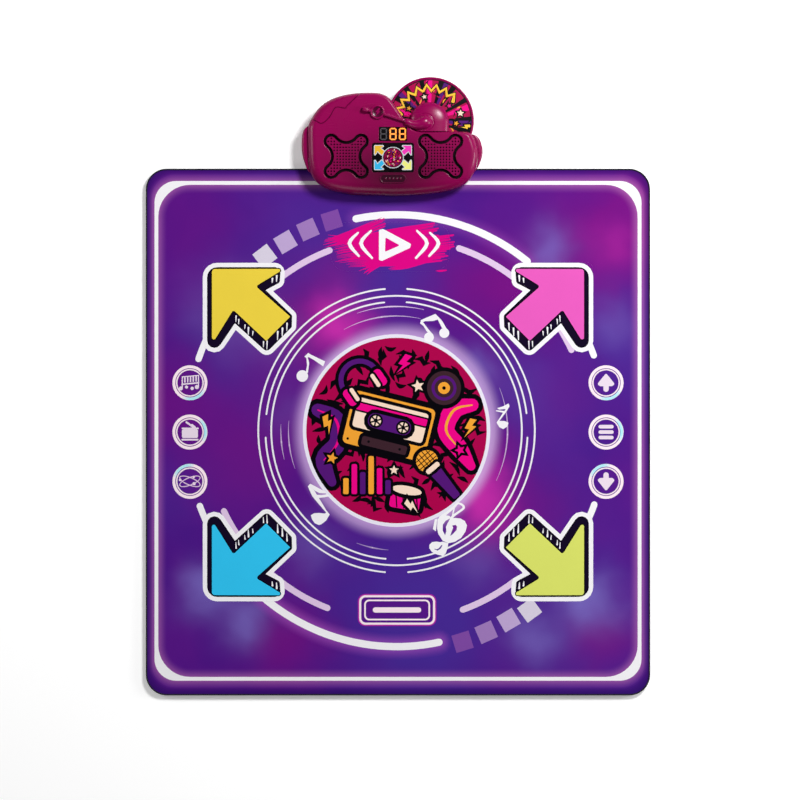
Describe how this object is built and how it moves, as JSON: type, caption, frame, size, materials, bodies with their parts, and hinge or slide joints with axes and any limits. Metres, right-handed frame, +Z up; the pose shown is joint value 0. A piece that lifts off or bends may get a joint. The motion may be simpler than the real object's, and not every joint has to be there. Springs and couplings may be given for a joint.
{
  "type": "electronic dance mat",
  "caption": "Padded floor dance mat with printed touch zones and a plastic sound console clamped over its top edge.",
  "frame": {"origin": "middle of the mat at floor level, on the base cloth's underside", "axes": "+X to the mat's right, +Y from the mat's middle towards the console, +Z up"},
  "size_m": [0.9, 1.102, 0.0573],
  "materials": {
    "maroon_plastic": "satin moulded shell",
    "dark_maroon_plastic": "satin moulded plastic",
    "printed_cloth": "printed polyester cloth",
    "black_cloth": "plain woven cloth",
    "white_foam": "soft foam sheet",
    "circuit_film": "printed plastic film",
    "yellow_print": "printed polyester cloth",
    "pink_print": "printed polyester cloth",
    "cyan_print": "printed polyester cloth",
    "lime_print": "printed polyester cloth",
    "magenta_print": "printed polyester cloth",
    "violet_print": "printed polyester cloth",
    "record_print": "printed plastic label",
    "smoked_lens": "smoked clear plastic",
    "circuit_board": "green circuit board",
    "lamp_housing": "white moulded housing",
    "zinc_steel": "zinc-plated steel",
    "magnet_grey": "pressed basket and magnet",
    "paper_cone": "black paper cone",
    "cell_skin": "sleeved dry cell",
    "black_rubber": "matte rubber",
    "switch_plastic": "black plastic"
  },
  "bodies": {
    "mat_and_console": {"battery_cell_1": "cell_skin", "battery_cell_2": "cell_skin", "battery_cell_3": "cell_skin", "battery_contact_left": "zinc_steel", "battery_contact_right": "zinc_steel", "case_screw_1": "zinc_steel", "case_screw_2": "zinc_steel", "case_screw_3": "zinc_steel", "case_screw_4": "zinc_steel", "clamp_screw_1": "zinc_steel", "clamp_screw_2": "zinc_steel", "console_front_shell": "maroon_plastic", "console_rear_shell": "maroon_plastic", "display_module": "lamp_housing", "display_window": "smoked_lens", "front_badge": "maroon_plastic", "lamp_board": "circuit_board", "lamp_panel_lens": "smoked_lens", "left_grille": "maroon_plastic", "left_rubber_foot": "black_rubber", "left_side_cap": "maroon_plastic", "left_speaker_basket": "magnet_grey", "left_speaker_cone": "paper_cone", "lower_circuit_film": "circuit_film", "main_board": "circuit_board", "mat_base_cloth": "black_cloth", "mat_clamp_plate": "dark_maroon_plastic", "mat_edge_binding": "black_cloth", "mat_foam_core": "white_foam", "mat_tail_ribbon": "circuit_film", "mat_top_cover": "printed_cloth", "power_switch_body": "zinc_steel", "record_disc": "maroon_plastic", "record_hub_dome": "maroon_plastic", "record_label": "record_print", "right_grille": "maroon_plastic", "right_rubber_foot": "black_rubber", "right_side_cap": "maroon_plastic", "right_speaker_basket": "magnet_grey", "right_speaker_cone": "paper_cone", "spacer_layer": "white_foam", "tonearm": "maroon_plastic", "upper_circuit_film": "circuit_film"},
    "yellow_arrow": {"arrow_key_yellow": "yellow_print"},
    "pink_arrow": {"arrow_key_pink": "pink_print"},
    "blue_arrow": {"arrow_key_blue": "cyan_print"},
    "lime_arrow": {"arrow_key_lime": "lime_print"},
    "start_zone": {"start_key": "magenta_print"},
    "bar_zone": {"bar_key": "violet_print"},
    "piano_zone": {"round_key_piano": "violet_print"},
    "drum_zone": {"round_key_drum": "violet_print"},
    "orbit_zone": {"round_key_orbit": "violet_print"},
    "up_zone": {"round_key_up": "violet_print"},
    "menu_zone": {"round_key_menu": "violet_print"},
    "down_zone": {"round_key_down": "violet_print"},
    "switch_knob": {"power_switch_knob": "switch_plastic"},
    "cell_door": {"battery_door": "dark_maroon_plastic", "battery_door_screw": "zinc_steel"}
  },
  "joints": [
    {"name": "yellow_arrow_press", "type": "slide", "parent": "mat_and_console", "child": "yellow_arrow", "axis": [0, 0, -1], "range_m": [0, 0.0015], "stiffness_N_per_m": 2000, "springref_m": -0.0006},
    {"name": "pink_arrow_press", "type": "slide", "parent": "mat_and_console", "child": "pink_arrow", "axis": [0, 0, -1], "range_m": [0, 0.0015], "stiffness_N_per_m": 2000, "springref_m": -0.0006},
    {"name": "blue_arrow_press", "type": "slide", "parent": "mat_and_console", "child": "blue_arrow", "axis": [0, 0, -1], "range_m": [0, 0.0015], "stiffness_N_per_m": 2000, "springref_m": -0.0006},
    {"name": "lime_arrow_press", "type": "slide", "parent": "mat_and_console", "child": "lime_arrow", "axis": [0, 0, -1], "range_m": [0, 0.0015], "stiffness_N_per_m": 2000, "springref_m": -0.0006},
    {"name": "start_zone_press", "type": "slide", "parent": "mat_and_console", "child": "start_zone", "axis": [0, 0, -1], "range_m": [0, 0.0015], "stiffness_N_per_m": 2000, "springref_m": -0.0006},
    {"name": "bar_zone_press", "type": "slide", "parent": "mat_and_console", "child": "bar_zone", "axis": [0, 0, -1], "range_m": [0, 0.0015], "stiffness_N_per_m": 2000, "springref_m": -0.0006},
    {"name": "piano_zone_press", "type": "slide", "parent": "mat_and_console", "child": "piano_zone", "axis": [0, 0, -1], "range_m": [0, 0.0015], "stiffness_N_per_m": 2000, "springref_m": -0.0006},
    {"name": "drum_zone_press", "type": "slide", "parent": "mat_and_console", "child": "drum_zone", "axis": [0, 0, -1], "range_m": [0, 0.0015], "stiffness_N_per_m": 2000, "springref_m": -0.0006},
    {"name": "orbit_zone_press", "type": "slide", "parent": "mat_and_console", "child": "orbit_zone", "axis": [0, 0, -1], "range_m": [0, 0.0015], "stiffness_N_per_m": 2000, "springref_m": -0.0006},
    {"name": "up_zone_press", "type": "slide", "parent": "mat_and_console", "child": "up_zone", "axis": [0, 0, -1], "range_m": [0, 0.0015], "stiffness_N_per_m": 2000, "springref_m": -0.0006},
    {"name": "menu_zone_press", "type": "slide", "parent": "mat_and_console", "child": "menu_zone", "axis": [0, 0, -1], "range_m": [0, 0.0015], "stiffness_N_per_m": 2000, "springref_m": -0.0006},
    {"name": "down_zone_press", "type": "slide", "parent": "mat_and_console", "child": "down_zone", "axis": [0, 0, -1], "range_m": [0, 0.0015], "stiffness_N_per_m": 2000, "springref_m": -0.0006},
    {"name": "power_switch_slide", "type": "slide", "parent": "mat_and_console", "child": "switch_knob", "axis": [1, 0, 0], "range_m": [0, 0.004]},
    {"name": "cell_door_lift_off", "type": "slide", "parent": "mat_and_console", "child": "cell_door", "axis": [0, 0, -1], "range_m": [0, 0.012]}
  ]
}
